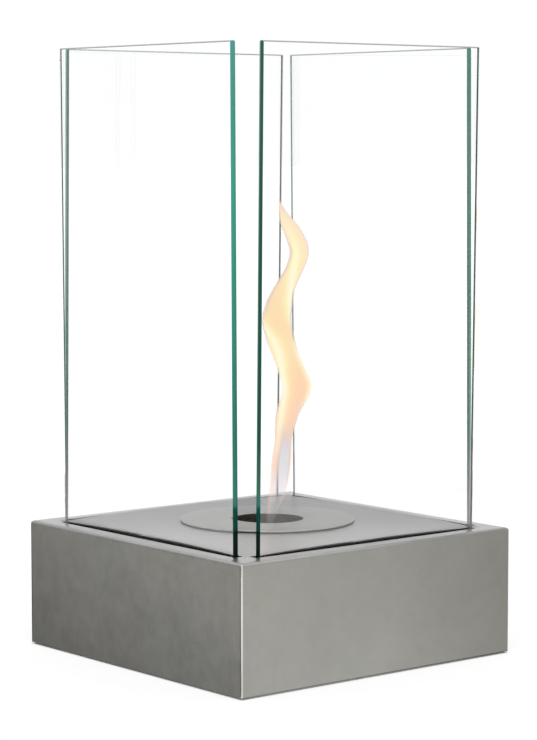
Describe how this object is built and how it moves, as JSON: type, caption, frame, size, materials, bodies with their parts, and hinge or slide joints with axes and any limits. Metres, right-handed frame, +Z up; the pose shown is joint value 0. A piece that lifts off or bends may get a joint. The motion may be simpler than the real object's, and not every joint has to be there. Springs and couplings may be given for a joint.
{
  "type": "bioethanol fireplace",
  "caption": "Free-standing bioethanol fireplace: square steel base, drop-in round burner with a flame hole, and tall loose glass panes standing in slots round it.",
  "frame": {"origin": "on the floor under the middle of the square base", "axes": "+Z up along the glass, +X towards the right pane, +Y towards the back pane, so -Y is the front pane and the picture looks at the corner between -X and -Y"},
  "size_m": [0.3, 0.3, 0.527],
  "materials": {
    "base_steel": "fine brushed stainless steel, satin",
    "disc_steel": "brushed stainless steel, satin, bright rim",
    "burner_steel": "plain stainless steel, heat-tinted",
    "inner_steel": "plain mill-finish steel sheet",
    "screw_steel": "zinc-plated",
    "pane_glass": "clear float glass with ground green edges",
    "glazing_strip": "black silicone, matt",
    "foot_rubber": "black rubber, matt",
    "fuel_wool": "ceramic fibre wool, singed on top"
  },
  "bodies": {
    "base": {"base_shell": "base_steel", "bottom_plate": "inner_steel", "glass_channel_front": "inner_steel", "glass_channel_right": "inner_steel", "glass_channel_back": "inner_steel", "glass_channel_left": "inner_steel", "corner_bracket_1": "inner_steel", "corner_bracket_2": "inner_steel", "corner_bracket_3": "inner_steel", "corner_bracket_4": "inner_steel", "bottom_screw_1": "screw_steel", "bottom_screw_2": "screw_steel", "bottom_screw_3": "screw_steel", "bottom_screw_4": "screw_steel", "foot_1": "foot_rubber", "foot_2": "foot_rubber", "foot_3": "foot_rubber", "foot_4": "foot_rubber"},
    "front_glass": {"glass_pane_front": "pane_glass", "glass_gasket_front": "glazing_strip"},
    "right_glass": {"glass_pane_right": "pane_glass", "glass_gasket_right": "glazing_strip"},
    "back_glass": {"glass_pane_back": "pane_glass", "glass_gasket_back": "glazing_strip"},
    "left_glass": {"glass_pane_left": "pane_glass", "glass_gasket_left": "glazing_strip"},
    "burner": {"burner_can": "burner_steel", "burner_disc": "disc_steel", "burner_neck": "burner_steel", "wool_screen": "burner_steel", "wool_pad": "fuel_wool"}
  },
  "joints": [
    {"name": "front_glass_lift", "type": "slide", "parent": "base", "child": "front_glass", "axis": [0, 0, 1], "range_m": [0, 0.03]},
    {"name": "right_glass_lift", "type": "slide", "parent": "base", "child": "right_glass", "axis": [0, 0, 1], "range_m": [0, 0.03]},
    {"name": "back_glass_lift", "type": "slide", "parent": "base", "child": "back_glass", "axis": [0, 0, 1], "range_m": [0, 0.03]},
    {"name": "left_glass_lift", "type": "slide", "parent": "base", "child": "left_glass", "axis": [0, 0, 1], "range_m": [0, 0.03]},
    {"name": "burner_lift", "type": "slide", "parent": "base", "child": "burner", "axis": [0, 0, 1], "range_m": [0, 0.06]}
  ]
}
